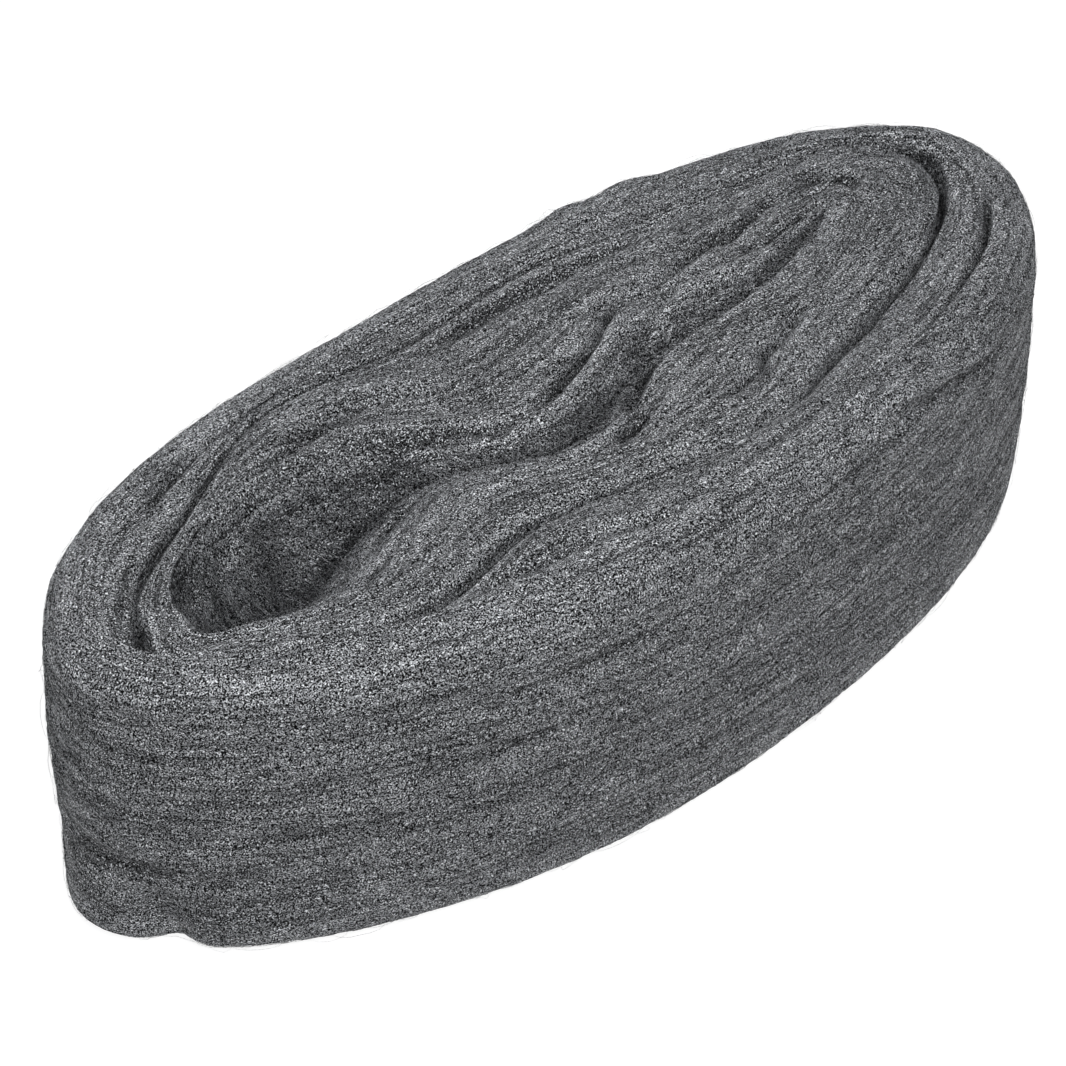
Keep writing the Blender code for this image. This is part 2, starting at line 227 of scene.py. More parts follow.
# Fibres: bend at each step, radius, steps and sides of the prism, spread of tone, least and most share of the
# radius, the stretch of a half wave that tapers the ends, how high they rest on the surface and at least
# over the floor in radii, and the least distance between rows that their steps are counted in
FIBRE_SEED = 71
FIBRE_BEND = math.radians(26.0)
FIBRE_RADIUS = 0.00009
FIBRE_STEPS = 6
FIBRE_SIDES = 3
FIBRE_TONE_SPREAD = 0.28
FIBRE_WIDTHS = (0.6, 1.25)
FIBRE_ENDS = (0.12, 0.88)
FIBRE_REST = 0.3
FIBRE_LEAST_HEIGHT = 1.5
LEAST_ROW_STEP = 0.00008

# Lift off the surface at which a fibre is at its thinnest, its share of the usual radius there, and the
# most lift
FINEST_LIFT = 0.0004
FINEST_SHARE = 0.3
MOST_LIFT = 0.0013

# Fibres over the nearly closed part of the slot: count, stretch of winding angles, how far they lean along
# it in degrees of winding, how far they stray, and the share of the lip that their ends lie on
SLOT_FIBRES = (1300, 12.0, 172.0)
SLOT_FIBRE_LEAN = 5.0
SLOT_FIBRE_KINK = 0.00018
SLOT_FIBRE_REACH = 0.9

# Layers of fibres: name, count, weight of each stretch of a section, step along a fibre in millimetres,
# spread of slant in degrees, and usual lift off the surface in millimetres
LAYERS = (
    ("fibres_wall_under", 4700, (1.0, 0.5, 0.0, 0.0, 0.1, 0.05, 0.8), 1.7, 16.0, 0.03),
    ("fibres_wall_over", 4700, (1.0, 0.5, 0.0, 0.0, 0.1, 0.0, 0.8), 1.7, 22.0, 0.16),
    ("fibres_top_under", 4700, (0.0, 0.6, 1.0, 0.3, 0.0, 0.0, 0.0), 1.5, 18.0, 0.03),
    ("fibres_top_over", 4700, (0.0, 0.6, 1.0, 0.3, 0.0, 0.0, 0.0), 1.5, 26.0, 0.16),
    ("fibres_loose", 1200, (0.5, 1.0, 0.15, 0.0, 0.0, 0.0, 0.5), 2.0, 30.0, 0.7),
)

# Colour of the steel, which grey levels multiply, and its finish
STEEL_TINT = (0.975, 1.0, 1.04)
DULL_SHEEN = 0.1
BODY_METALLIC = 0.4
BODY_ROUGHNESS = 0.55
BODY_BUMP_HEIGHT = 0.0002
FIBRE_METALLIC = 0.6
FIBRE_ROUGHNESS = 0.45

# Radius of the circle on which the streaks run round, in shares of the coil's length over a full turn
GRAIN_RADIUS_SHARE = 2.2

# Patterns of the wool. Each noise has its scale, its share of that along the winding, and its detail. Each
# level has the noise's low and high end, and the grey levels there.
NOISE_ROUGHNESS = 0.5
SPECK_NOISE = (3400.0, 1.0, 0.0)
# Specks on the wool and on the fibres run from near black, painted shade of the gaps between fibres, up to
# the steel's own grey
SPECK_LEVEL = (0.47, 0.56, 0.002, 0.36)
FIBRE_SPECK_LEVEL = (0.48, 0.57, 0.002, 0.38)
STREAK_NOISE = (1000.0, 0.03, 1.0)
STREAK_LEVEL = (0.39, 0.47, 0.4, 1.0)
PATCH_NOISE = (170.0, 0.25, 1.0)
PATCH_LEVEL = (0.35, 0.65, 0.9, 1.1)
# Painted glint specks: painted highlights added to the colour
PAINTED_GLINT_NOISE = (3000.0, 1.0, 0.0)
PAINTED_GLINT_LEVEL = (0.63, 0.69, 0.0, 0.65)

# Studio: floor and its white glow for the view, light from all around, and each lamp's name, place, size and
# power
FLOOR_HALF = 3.0
FLOOR_COLOUR = (0.18, 0.18, 0.18, 1.0)
FLOOR_GLOW = 0.9
WHITE = (1.0, 1.0, 1.0, 1.0)
SKY_COLOUR = (0.97, 0.985, 1.0, 1.0)
SKY_STRENGTH = 0.28
LAMPS = (
    ("key", (-0.585, -1.02, 1.5), 0.8, 26.0),
    ("back_fill", (0.3, 1.1, 1.2), 1.0, 10.0),
)

# Camera, found from the photograph's outline, for a frame of 1066 x 1066 pixels
CAMERA_AZIMUTH = math.radians(-44.0)
CAMERA_ELEVATION = math.radians(39.0)
CAMERA_DISTANCE = 0.8
CAMERA_TARGET = Vector((-0.0108, 0.0036, 0.035))
CAMERA_SENSOR = 36.0
CAMERA_LENS = 133.6


def ring_curve(values, angles):
    """Smooth closed curve through evenly spaced values, read at winding angles in radians."""
    values = np.asarray(values, float)
    count = len(values)
    unit = np.eye(count)
    blend = (4.0 * unit + np.roll(unit, 1, axis=0) + np.roll(unit, -1, axis=0)) / 6.0
    control = np.linalg.solve(blend, values)
    place = angles / TURN * count
    start = np.floor(place).astype(int)
    weights = spline_weights(place - start)
    return sum(weight * control[(start + k - 1) % count] for k, weight in enumerate(weights))


def spline_weights(u):
    """Weights of the four control values around a place in a uniform cubic B-spline."""
    return (
        (1.0 - u) ** 3 / 6.0,
        (3.0 * u**3 - 6.0 * u**2 + 4.0) / 6.0,
        (-3.0 * u**3 + 3.0 * u**2 + 3.0 * u + 1.0) / 6.0,
        u**3 / 6.0,
    )


def lattice_noise(u, v, along, across, seed):
    """Smooth noise of about -1 to 1 on a torus of cells, read at shares u and v of the way round."""
    lattice = np.random.default_rng(seed).uniform(-NOISE_REACH, NOISE_REACH, (along, across))
    place_u = np.mod(u, 1.0) * along
    place_v = np.mod(v, 1.0) * across
    start_u = np.floor(place_u).astype(int)
    start_v = np.floor(place_v).astype(int)
    weights_u = spline_weights(place_u - start_u)
    weights_v = spline_weights(place_v - start_v)
    total = np.zeros(np.broadcast(u, v).shape)
    for a, weight_u in enumerate(weights_u):
        for b, weight_v in enumerate(weights_v):
            value = lattice[(start_u + a - 1) % along, (start_v + b - 1) % across]
            total = total + weight_u * weight_v * value
    return total


def rib_valleys(angles, place):
    """How deep the valleys between the ribs are, from 0 to 1, at places across each section."""
    noise = lattice_noise(angles[:, None] / TURN, place, *RIB_CELLS, RIB_SEED)
    return np.clip(0.5 - 0.5 * noise, 0.0, 1.0)


def wall_ribs(angles, height):
    """How far the valleys between the ribs cut into the outer wall at a height."""
    return RIB_WALL_DEPTH * rib_valleys(angles, RIB_WALL_SHARE * height / BAND_WIDTH)


def top_ribs(angles, share):
    """How far the valleys between the ribs cut into the top at a share of the way in."""
    return RIB_TOP_DEPTH * rib_valleys(angles, RIB_WALL_SHARE + RIB_TOP_SHARE * share)


def outline_points(angles):
    """Outer edge of the coil from above."""
    shares = np.array(OUTLINE)
    x = ring_curve(shares[:, 0], angles) * COIL_LENGTH / 2.0
    y = ring_curve(shares[:, 1], angles) * COIL_WIDTH / 2.0
    return np.stack([x, y], axis=1)


def slot_points(angles):
    """Edge of the slot from above: its back side, then its front side."""
    rows = np.array(SLOT) * MM
    middle = np.concatenate([rows[:, 0], rows[-2:0:-1, 0]])
    half_width = np.concatenate([rows[:, 1], -rows[-2:0:-1, 1]])
    left = -COIL_LENGTH / 2.0 + LEFT_END_WALL
    right = COIL_LENGTH / 2.0 - RIGHT_END_WALL
    x = (left + right) / 2.0 + (right - left) / 2.0 * np.cos(angles)
    y = ring_curve(middle, angles) + ring_curve(half_width, angles)
    return np.stack([x, y], axis=1)


def crease_depth(angles, inward, thick):
    """Depth of the creases at a distance inward from the outline, for a wall of that thickness."""
    depth = np.zeros_like(inward)
    for deepest, half_width, way in CREASES:
        bends = np.radians([bend for bend, share in way])
        shares = [share for bend, share in way]
        turned = bends[0] + np.mod(angles - bends[0], TURN)
        along = np.clip((turned - bends[0]) / (bends[-1] - bends[0]), 0.0, 1.0)
        middle = np.interp(turned, bends, shares)[:, None] * thick
        near = np.clip(1.0 - np.abs(inward - middle) / (half_width * MM), 0.0, 1.0)
        fade = np.sqrt(np.sin(math.pi * along))[:, None]
        depth = np.maximum(depth, deepest * MM * fade * near**CREASE_SHARPNESS)
    return depth


def wall_inset(height):
    """How far the outer wall stands inside the outline: it bulges at half height and leans in below."""
    share = height / BAND_WIDTH
    bulge = WALL_BULGE * np.sin(math.pi * share)
    return WALL_BULGE - bulge + WALL_LEAN * (1.0 - share) ** 2


def foot_swell(angles, height):
    """How far the loose wool low on the outer wall stands out at a height."""
    out = np.zeros((len(angles), 1))
    for middle, spread, reach in FOOT_SWELLS:
        away = (np.degrees(angles)[:, None] - middle) / spread
        out = out + reach * MM * np.exp(-(away**2))
    return out * np.sqrt(np.clip(1.0 - height / FOOT_SWELL_HEIGHT, 0.0, 1.0))


def steps(rows):
    """Even shares from 0 to 1, without the 0."""
    return np.linspace(0.0, 1.0, rows + 1)[None, 1:]


def underside_rows(inner, outer):
    """Rows from the slot's foot out to the outer foot: flat bands with a shallow groove between turns."""
    inward = []
    height = []
    for turn in range(1, UNDERSIDE_TURNS):
        middle = inner + (outer - inner) * turn / UNDERSIDE_TURNS
        for side, lift in ((0.5, 0.0), (0.0, 1.0), (-0.5, 0.0)):
            inward.append(middle + side * UNDERSIDE_GROOVE_WIDTH)
            height.append(np.full_like(middle, lift * UNDERSIDE_GROOVE_DEPTH))
    inward.append(outer)
    height.append(np.zeros_like(outer))
    return np.concatenate(inward, axis=1), np.concatenate(height, axis=1)


def section_rows(angles, thick):
    """Distance inward from the outline, height, and stretch number of every row of each section."""
    crack_share, crack_deep = (ring_curve(column, angles)[:, None] for column in np.array(CRACK).T)
    lip_width, lip_drop = (ring_curve(column, angles)[:, None] * MM for column in np.array(LIP).T)
    crack_at = crack_share * thick
    crack_deep = np.maximum(crack_deep * MM, CRACK_LEAST_DEPTH)
    crack_half = CRACK_HALF_WIDTH + CRACK_WIDENING * crack_deep
    crack_start = crack_at - crack_half
    crack_end = crack_at + crack_half
    lip_width = np.minimum(lip_width, thick - crack_end - TURN_LEAST_WIDTH)
    rim = np.minimum(RIM_RADIUS, CORNER_SHARE * thick)
    quarter = steps(RIM_ROWS) * math.pi / 2.0
    bend = steps(LIP_ROWS) * math.pi / 2.0
    slot_bend = steps(SLOT_FOOT_ROWS) * math.pi / 2.0
    foot_bend = steps(FOOT_ROWS)[:, :-1] * math.pi / 2.0

    wall_height = FOOT_RADIUS + (BAND_WIDTH - rim - FOOT_RADIUS) * np.linspace(0.0, 1.0, WALL_ROWS + 1)
    wall_inward = wall_inset(wall_height) + wall_ribs(angles, wall_height) - foot_swell(angles, wall_height)
    rim_start = wall_inward[:, -1:]
    rim_inward = rim_start + rim * (1.0 - np.cos(quarter))
    rim_drop = rim * (1.0 - np.sin(quarter)) + top_ribs(angles, rim_inward / thick) * np.sin(quarter) ** 2
    rim_height = BAND_WIDTH - rim_drop

    rim_end = rim_start + rim
    outer_top = rim_end + (crack_start - rim_end) * steps(OUTER_TOP_ROWS)
    crack_inward = crack_start + (crack_end - crack_start) * steps(2 * CRACK_ROWS)
    lip_start = thick - lip_width
    inner_top = crack_end + (lip_start - crack_end) * steps(INNER_TOP_ROWS)
    lip_inward = lip_start + lip_width * np.sin(bend)
    lip_fall = lip_drop * np.sin(bend) ** LIP_CURVE
    top_inward = np.concatenate([outer_top, crack_inward, inner_top, lip_inward], axis=1)
    away = np.abs(top_inward - crack_at)
    shoulder_deep = np.minimum(SHOULDER_SHARE * crack_deep, SHOULDER_MOST)
    shoulder = shoulder_deep * np.exp(-((away / SHOULDER_REACH) ** 2))
    crack_drop = crack_deep * np.clip(1.0 - away / crack_half, 0.0, 1.0)
    top_drop = np.maximum(crack_drop, shoulder) + crease_depth(angles, top_inward, thick)
    top_drop[:, -LIP_ROWS:] += lip_fall
    top_height = BAND_WIDTH - top_drop - top_ribs(angles, top_inward / thick)

    slot_top = top_height[:, -1:]
    slot_height = slot_top + (SLOT_FOOT_RADIUS - slot_top) * steps(SLOT_WALL_ROWS)
    slot_inward = np.broadcast_to(thick, slot_height.shape)
    slot_foot_inward = thick - SLOT_FOOT_RADIUS * (1.0 - np.cos(slot_bend))
    slot_foot_height = SLOT_FOOT_RADIUS * (1.0 - np.sin(slot_bend)) + 0.0 * thick

    foot_start = wall_inward[:, :1]
    under_inward, under_height = underside_rows(slot_foot_inward[:, -1:], foot_start + FOOT_RADIUS)
    foot_inward = foot_start + FOOT_RADIUS * (1.0 - np.sin(foot_bend))
    foot_height = FOOT_RADIUS * (1.0 - np.cos(foot_bend)) + 0.0 * thick

    inward = (wall_inward, rim_inward, top_inward, slot_inward, slot_foot_inward, under_inward, foot_inward)
    height = (wall_height, rim_height, top_height, slot_height, slot_foot_height, under_height, foot_height)
    stretch = np.concatenate([np.full(part.shape[1], k) for k, part in enumerate(inward)])
    return np.concatenate(inward, axis=1), np.concatenate(height, axis=1), stretch


def surface_normals(grid):
    """Outward normals of a closed grid of points."""
    along = np.roll(grid, -1, axis=0) - np.roll(grid, 1, axis=0)
    across = np.roll(grid, -1, axis=1) - np.roll(grid, 1, axis=1)
    normal = np.cross(along, across)
    return normal / (np.linalg.norm(normal, axis=2, keepdims=True) + 1e-12)


def row_weights(stretch, values):
    """One value for each row, from one for each stretch, softened where two stretches meet."""
    weights = np.array(values)[stretch]
    for _ in range(SOFTENING_PASSES):
        weights = (np.roll(weights, 1) + 2.0 * weights + np.roll(weights, -1)) / 4.0
    return weights


def one_stretch(chosen):
    """Values for the stretches of a section: 1 for the chosen one and 0 for the rest."""
    return np.eye(STRETCHES)[chosen]


def wound_relief(stretch, u, v, arc):
    """Height of the fine ribs that the wound fibres make, at shares u and v round and across the coil."""
    drift = RELIEF_DRIFT / arc[-1] * lattice_noise(u, v, *RELIEF_DRIFT_CELLS, RELIEF_DRIFT_SEED)
    on_wall = row_weights(stretch, WALL_RELIEF)
    on_top = row_weights(stretch, TOP_RELIEF)
    relief = np.zeros_like(u)
    for k, (cells_along, cells_across, wall_height, top_height) in enumerate(RELIEF):
        noise = lattice_noise(u, v + drift, cells_along, cells_across, RELIEF_SEED + k)
        relief = relief + noise * (wall_height * on_wall + top_height * on_top)[None, :]
    return relief


def open_space(angles, stretch):
    """How far each point belongs to the far wall of the open space at the left end, from 0 to 1."""
    first, last = np.radians(PIT_ANGLES)
    along = np.clip((angles - first) / (last - first), 0.0, 1.0)
    on_lip = np.zeros(len(stretch))
    on_lip[np.flatnonzero(stretch == TOP)[-LIP_ROWS:]] = np.linspace(0.0, 1.0, LIP_ROWS)
    on_slot_wall = row_weights(stretch, one_stretch(SLOT_WALL))
    return np.sqrt(np.sin(math.pi * along))[:, None] * np.maximum(on_slot_wall, on_lip)[None, :]


def wall_folds(angles, height):
    """How far the folds of the outer wall stand out at a height."""
    turn = np.degrees(angles)[:, None]
    out = np.zeros_like(height)
    for first, start, last, end, rise, half_width in WALL_FOLDS:
        share = np.clip((turn - first) / (last - first), 0.0, 1.0)
        off = (height / MM - start - (end - start) * share) / half_width
        out = out + rise * MM * np.sqrt(np.sin(math.pi * share)) * np.exp(-(off**2))
    return out


def rim_tufts(angles):
    """How far the tufts on the rim stand out in each section."""
    turn = np.degrees(angles)[:, None]
    return sum(rise * MM * np.exp(-(((turn - middle) / wide) ** 2)) for middle, wide, rise in RIM_TUFTS)


def hollow_shade(grid, normal):
    """Painted shade for the colour, from how much of the light that reaches open wool reaches each point:
    darker in hollows between turns, and a painted highlight on ridges.
    """
    around = sum(np.roll(grid, hop, axis=1) for hop in HOLLOW_HOPS) / len(HOLLOW_HOPS)
    depth = np.sum((around - grid) * normal, axis=2)
    ridge = 1.0 + RIDGE_HIGHLIGHT * np.clip(-depth / HOLLOW_FADE, 0.0, 1.0)
    return np.where(depth > 0.0, np.exp(-depth / HOLLOW_FADE), ridge)


def coil_surface():
    """Fine surface of the coil: its points, normals, arc length across it and stretch of each row, and the
    painted light and shade for its colour.
    """
    angles = np.linspace(0.0, TURN, SECTIONS, endpoint=False)
    outline = outline_points(angles)
    across = slot_points(angles) - outline
    thick = np.linalg.norm(across, axis=1)[:, None]
    inward, height, stretch = section_rows(angles, thick)
    plan = outline[:, None, :] + (across / thick)[:, None, :] * inward[:, :, None]
    grid = np.concatenate([plan, height[:, :, None]], axis=2)
    corners = grid.reshape(-1, 3)
    middle = (corners.min(axis=0) + corners.max(axis=0)) / 2.0
    middle[2] = corners[:, 2].min()
    grid = grid - middle

    hop = np.linalg.norm(np.roll(grid, -1, axis=1) - grid, axis=2).mean(axis=0)
    arc = np.concatenate([[0.0], np.cumsum(hop)])
    u = (angles / TURN)[:, None] + 0.0 * inward
    v = (arc[:-1] / arc[-1])[None, :] + 0.0 * inward
    strands = np.abs(lattice_noise(u + PIT_STRAND_LEAN * v, v, *PIT_STRAND_CELLS, PIT_STRAND_SEED))
    crests = np.minimum(strands, PIT_STRAND_CREST) - 0.5 * PIT_STRAND_CREST
    in_open = open_space(angles, stretch)
    on_rim = row_weights(stretch, one_stretch(RIM))
    relief = wound_relief(stretch, u, v, arc)
    relief = relief + PIT_STRAND_DEPTH * in_open * crests
    relief = relief + wall_folds(angles, height) * (stretch <= RIM)[None, :]
    relief = relief + rim_tufts(angles) * on_rim[None, :]

    normal = surface_normals(grid)
    grid = grid + normal * relief[:, :, None]
    grid[:, :, 2] = np.maximum(grid[:, :, 2], 0.0)
    normal = surface_normals(grid)
    # Painted shade in the gaps between strands and painted light on the far wall of the open space; elsewhere
    # the painted shade of hollows and painted highlight of ridges
    gaps = 1.0 - PIT_GAP_SHADE * np.exp(-((strands / PIT_GAP_WIDTH) ** 2))
    shade = hollow_shade(grid, normal) * (1.0 - in_open) + PIT_LIGHT * gaps * in_open
    return {"grid": grid, "normal": normal, "shade": shade, "u": u, "arc": arc, "stretch": stretch}


def new_object(name, points, faces, material):
    """A mesh object that replaces the solid and rides with it."""
    mesh = bpy.data.meshes.new(name)
    mesh.from_pydata(points, [], faces)
    mesh.shade_smooth()
    mesh.materials.append(material)
    piece = bpy.data.objects.new(name, mesh)
    bpy.context.collection.objects.link(piece)
    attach(piece, BODY)
    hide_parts(NODE)
    return piece


def add_attribute(mesh, name, kind, values):
    """Stores one value or vector for each point of a mesh."""
    layer = mesh.attributes.new(name, kind, "POINT")
    field = "vector" if kind == "FLOAT_VECTOR" else "value"
    layer.data.foreach_set(field, np.ascontiguousarray(values, dtype=np.float32).ravel())


def wool_body(surface, material):
    """The wound band itself, as one closed fine mesh."""
    grid = surface["grid"]
    sections, rows = grid.shape[:2]
    index = np.arange(sections * rows).reshape(sections, rows)
    there = np.roll(index, -1, axis=0)
    quads = np.stack([index, there, np.roll(there, -1, axis=1), np.roll(index, -1, axis=1)], axis=2)
    piece = new_object("wool_body", grid.reshape(-1, 3), quads.reshape(-1, 4).tolist(), material)
    round_radius = COIL_LENGTH / TURN * GRAIN_RADIUS_SHARE
    turned = surface["u"] * TURN
    grain = np.stack(
        [
            round_radius * np.cos(turned),
            round_radius * np.sin(turned),
            surface["arc"][None, :-1] + 0.0 * turned,
        ],
        axis=2,
    )
    add_attribute(piece.data, "grain", "FLOAT_VECTOR", grain)
    # Painted light and shade for the colour: darker hollows and gaps, brighter ridges and open space
    add_attribute(piece.data, "shade", "FLOAT", surface["shade"])
    return piece


def read_grid(values, i, j):
    """Values of a closed grid between its points."""
    sections, rows = values.shape[:2]
    i0 = np.floor(i).astype(int)
    j0 = np.floor(j).astype(int)
    a = i - i0
    b = j - j0
    if values.ndim == 3:
        a = a[:, None]
        b = b[:, None]
    i1 = (i0 + 1) % sections
    j1 = (j0 + 1) % rows
    i0 = i0 % sections
    j0 = j0 % rows
    low = values[i0, j0] * (1.0 - a) + values[i1, j0] * a
    high = values[i0, j1] * (1.0 - a) + values[i1, j1] * a
    return low * (1.0 - b) + high * b


def starts(surface, rng, count, weights):
    """Random places on the surface, as section and row, spread by area and by a weight for each row."""
    grid = surface["grid"]
    along = np.roll(grid, -1, axis=0) - grid
    across = np.roll(grid, -1, axis=1) - grid
    area = np.linalg.norm(np.cross(along, across), axis=2) * weights[None, :]
    share = np.cumsum(area.ravel())
    picks = np.searchsorted(share, rng.uniform(0.0, share[-1], count))
    i, j = np.divmod(picks, grid.shape[1])
    return i + rng.uniform(0.0, 1.0, count), j + rng.uniform(0.0, 1.0, count)


def fibre_paths(surface, rng, i, j, step, slant, lift):
    """Walks fibres over the surface along the winding, and returns their points and normals."""
    grid = surface["grid"]
    normal = surface["normal"]
    along = np.linalg.norm(np.roll(grid, -1, axis=0) - np.roll(grid, 1, axis=0), axis=2) / 2.0
    across = np.linalg.norm(np.roll(grid, -1, axis=1) - np.roll(grid, 1, axis=1), axis=2) / 2.0
    across = np.maximum(across, LEAST_ROW_STEP)
    points = []
    ups = []
    for k in range(FIBRE_STEPS + 1):
        share = k / FIBRE_STEPS
        up = read_grid(normal, i, j)
        up = up / (np.linalg.norm(up, axis=1, keepdims=True) + 1e-9)
        rise = lift(share)
        points.append(read_grid(grid, i, j) + up * rise[:, None])
        ups.append(up)
        turned = slant + rng.normal(0.0, FIBRE_BEND, len(i))
        i = i + step * np.cos(turned) / read_grid(along, i, j)
        j = j + step * np.sin(turned) / read_grid(across, i, j)
    return np.stack(points, axis=1), np.stack(ups, axis=1)


def fibre_mesh(name, points, ups, radius, tone_and_shade, material):
    """Closed three-sided prisms along many paths, as one object."""
    count, rings = points.shape[:2]
    ahead = np.gradient(points, axis=1)
    ahead = ahead / (np.linalg.norm(ahead, axis=2, keepdims=True) + 1e-12)
    side = np.cross(ahead, ups)
    side = side / (np.linalg.norm(side, axis=2, keepdims=True) + 1e-12)
    over = np.cross(side, ahead)
    taper = np.sin(math.pi * np.linspace(*FIBRE_ENDS, rings)) ** 0.5
    wide = radius[:, None] * taper[None, :]
    corners = []
    for k in range(FIBRE_SIDES):
        turn = math.pi / 2.0 + TURN * k / FIBRE_SIDES
        corners.append(points + (side * math.cos(turn) + over * math.sin(turn)) * wide[:, :, None])
    verts = np.stack(corners, axis=2)
    index = np.arange(count * rings * FIBRE_SIDES).reshape(count, rings, FIBRE_SIDES)
    here = index[:, :-1]
    there = index[:, 1:]
    quads = np.stack([here, np.roll(here, -1, axis=2), np.roll(there, -1, axis=2), there], axis=3)
    first = index[:, 0, ::-1]
    last = index[:, -1, :]
    faces = quads.reshape(-1, 4).tolist() + first.tolist() + last.tolist()
    piece = new_object(name, verts.reshape(-1, 3), faces, material)
    add_attribute(piece.data, "tone_and_shade", "FLOAT", np.repeat(tone_and_shade, rings * FIBRE_SIDES))
    return piece


def fibre_layer(surface, number, name, count, stretch_weights, step, slant, lift, material):
    """One layer of fibres that lie along the winding."""
    rng = np.random.default_rng(FIBRE_SEED + number)
    weights = np.array(stretch_weights)[surface["stretch"]]
    i, j = starts(surface, rng, count, weights)
    slants = rng.normal(0.0, math.radians(slant), count)
    shade = read_grid(surface["shade"], i, j)
    rise = np.minimum(rng.exponential(lift * MM, count), MOST_LIFT) + FIBRE_RADIUS * FIBRE_REST
    points, ups = fibre_paths(
        surface, rng, i, j, step * MM, slants, lambda share: rise * math.sin(math.pi * share) ** 0.5
    )
    fine = 1.0 - (1.0 - FINEST_SHARE) * np.clip(rise / FINEST_LIFT, 0.0, 1.0)
    radius = FIBRE_RADIUS * rng.uniform(*FIBRE_WIDTHS, count) * fine
    # Each fibre's own random grey level, times the painted shade of the hollow where it starts
    tone_and_shade = np.exp(rng.normal(0.0, FIBRE_TONE_SPREAD, count)) * shade
    points[:, :, 2] = np.maximum(points[:, :, 2], FIBRE_LEAST_HEIGHT * FIBRE_RADIUS)
    return fibre_mesh(name, points, ups, radius, tone_and_shade, material)


def slot_fibres(surface, number, name, count, first, last, material):
    """Fibres that lie over the nearly closed part of the slot, from one lip to the other."""
    rng = np.random.default_rng(FIBRE_SEED + number)
    grid = surface["grid"]
    normal = surface["normal"]
    sections = len(grid)
    edge = np.flatnonzero(surface["stretch"] == TOP)[-1]
    place = rng.uniform(first, last, count) / FULL_CIRCLE * sections
    shift = rng.normal(0.0, SLOT_FIBRE_LEAN / FULL_CIRCLE * sections, count)
    ends = []
    ups = []
    for section in (place, sections - place - shift):
        row = edge - rng.uniform(0.0, SLOT_FIBRE_REACH, count) * LIP_ROWS
        ends.append(read_grid(grid, section, row))
        ups.append(read_grid(normal, section, row))
    share = np.linspace(0.0, 1.0, FIBRE_STEPS + 1)[None, :, None]
    points = ends[0][:, None] * (1.0 - share) + ends[1][:, None] * share
    points = points + rng.normal(0.0, SLOT_FIBRE_KINK, points.shape)
    up = np.broadcast_to((ups[0] + ups[1])[:, None], points.shape)
    radius = FIBRE_RADIUS * rng.uniform(*FIBRE_WIDTHS, count)
    # Fibres over the slot keep their own random grey level, without painted shade
    tone_and_shade = np.exp(rng.normal(0.0, FIBRE_TONE_SPREAD, count))
    return fibre_mesh(name, points, up, radius, tone_and_shade, material)


def node(tree, kind, **values):
    """Adds a shader node and sets its inputs by name."""
    made = tree.nodes.new(kind)
    for key, value in values.items():
        made.inputs[key.replace("_", " ")].default_value = value
    return made


def principled(name):
    """A new material, its node tree and its Principled shader."""
    material = bpy.data.materials.new(name)
    material.use_nodes = True
    return material, material.node_tree, material.node_tree.nodes["Principled BSDF"]


def noise_in(tree, vector, scale, along, detail):
    """Noise in the given coordinates, drawn out along the winding where the share along is small."""
    link = tree.links.new
    drawn = tree.nodes.new("ShaderNodeMapping")
    drawn.inputs["Scale"].default_value = (along, along, 1.0)
    link(vector, drawn.inputs["Vector"])
    noise = node(tree, "ShaderNodeTexNoise", Scale=scale, Detail=detail, Roughness=NOISE_ROUGHNESS)
    link(drawn.outputs["Vector"], noise.inputs["Vector"])
    return noise.outputs["Fac"]


def spread(tree, value, low, high, bottom, top):
    """Maps a stretch of a value evenly to another, and holds it at the ends."""
    mapped = node(tree, "ShaderNodeMapRange", From_Min=low, From_Max=high, To_Min=bottom, To_Max=top)
    tree.links.new(value, mapped.inputs["Value"])
    return mapped.outputs["Result"]


def combine(tree, operation, first, second):
    """One value from two."""
    made = tree.nodes.new("ShaderNodeMath")
    made.operation = operation
    tree.links.new(first, made.inputs[0])
    tree.links.new(second, made.inputs[1])
    return made.outputs["Value"]


def steel_colour(tree, shader, level):
    """Tints a grey level like dull steel and gives it to a shader."""
    tint = tree.nodes.new("ShaderNodeVectorMath")
    tint.operation = "SCALE"
    tint.inputs[0].default_value = STEEL_TINT
    tree.links.new(level, tint.inputs["Scale"])
    tree.links.new(tint.outputs["Vector"], shader.inputs["Base Color"])


def attribute(tree, name):
    """Reads a stored attribute."""
    made = tree.nodes.new("ShaderNodeAttribute")
    made.attribute_name = name
    return made


